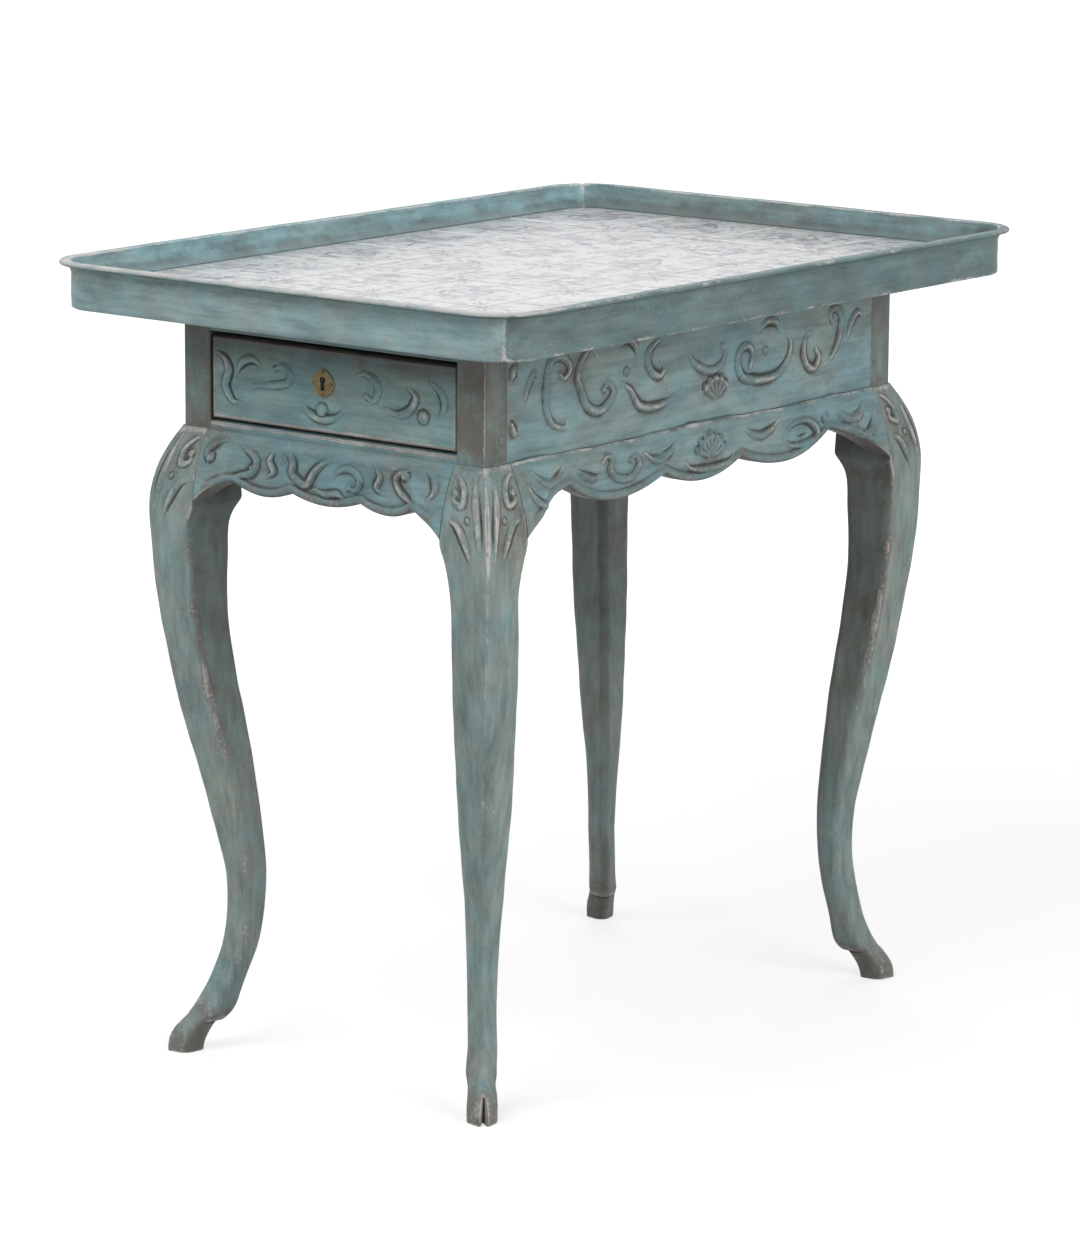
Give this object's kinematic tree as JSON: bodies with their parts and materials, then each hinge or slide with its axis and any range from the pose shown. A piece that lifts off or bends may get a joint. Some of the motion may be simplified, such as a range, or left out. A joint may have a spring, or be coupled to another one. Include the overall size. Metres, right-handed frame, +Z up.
{
  "type": "tile top table",
  "caption": "Rococo side table with a tiled tray top, scalloped carved aprons, cabriole legs on cloven hooves and a locking drawer in the narrow end.",
  "frame": {"origin": "on the floor under the middle of the tray top", "axes": "+Z up, +Y along the table's length away from the drawer end, +X across its width"},
  "size_m": [0.57, 0.826, 0.77],
  "materials": {
    "painted_wood": "worn blue-green paint",
    "frame_wood": "aged bare pine",
    "drawer_wood": "bare planed pine",
    "tile_glaze": "tin glaze with hand-painted marks",
    "mortar": "lime mortar",
    "iron": "dark forged iron",
    "brass": "tarnished brass"
  },
  "bodies": {
    "table": {"rim_front": "painted_wood", "rim_back": "painted_wood", "rim_left": "painted_wood", "rim_right": "painted_wood", "leg_front_left": "painted_wood", "leg_front_right": "painted_wood", "leg_back_left": "painted_wood", "leg_back_right": "painted_wood", "side_rail_left": "painted_wood", "side_rail_right": "painted_wood", "back_rail": "painted_wood", "front_apron_rail": "painted_wood", "front_top_rail": "painted_wood", "tenon_pegs": "painted_wood", "tray_board_left": "frame_wood", "tray_board_middle": "frame_wood", "tray_board_right": "frame_wood", "tray_pegs": "frame_wood", "runner_left": "frame_wood", "runner_right": "frame_wood", "kicker_left": "frame_wood", "kicker_right": "frame_wood", "drawer_stops": "frame_wood", "tile_r1_c1": "tile_glaze", "tile_r1_c2": "tile_glaze", "tile_r1_c3": "tile_glaze", "tile_r1_c4": "tile_glaze", "tile_r2_c1": "tile_glaze", "tile_r2_c2": "tile_glaze", "tile_r2_c3": "tile_glaze", "tile_r2_c4": "tile_glaze", "tile_r3_c1": "tile_glaze", "tile_r3_c2": "tile_glaze", "tile_r3_c3": "tile_glaze", "tile_r3_c4": "tile_glaze", "tile_r4_c1": "tile_glaze", "tile_r4_c2": "tile_glaze", "tile_r4_c3": "tile_glaze", "tile_r4_c4": "tile_glaze", "tile_r5_c1": "tile_glaze", "tile_r5_c2": "tile_glaze", "tile_r5_c3": "tile_glaze", "tile_r5_c4": "tile_glaze", "tile_r6_c1": "tile_glaze", "tile_r6_c2": "tile_glaze", "tile_r6_c3": "tile_glaze", "tile_r6_c4": "tile_glaze", "mortar_bed": "mortar"},
    "drawer": {"drawer_front": "painted_wood", "drawer_side_left": "drawer_wood", "drawer_side_right": "drawer_wood", "drawer_back": "drawer_wood", "drawer_bottom": "drawer_wood", "lock_case": "iron", "lock_nails": "iron", "escutcheon": "brass", "escutcheon_pins": "brass"},
    "lock_bolt": {"lock_bolt": "iron"}
  },
  "joints": [
    {"name": "drawer_slide", "type": "slide", "parent": "table", "child": "drawer", "axis": [0, -1, 0], "range_m": [0, 0.33]},
    {"name": "bolt_throw", "type": "slide", "parent": "drawer", "child": "lock_bolt", "axis": [0, 0, 1], "range_m": [0, 0.01]}
  ]
}
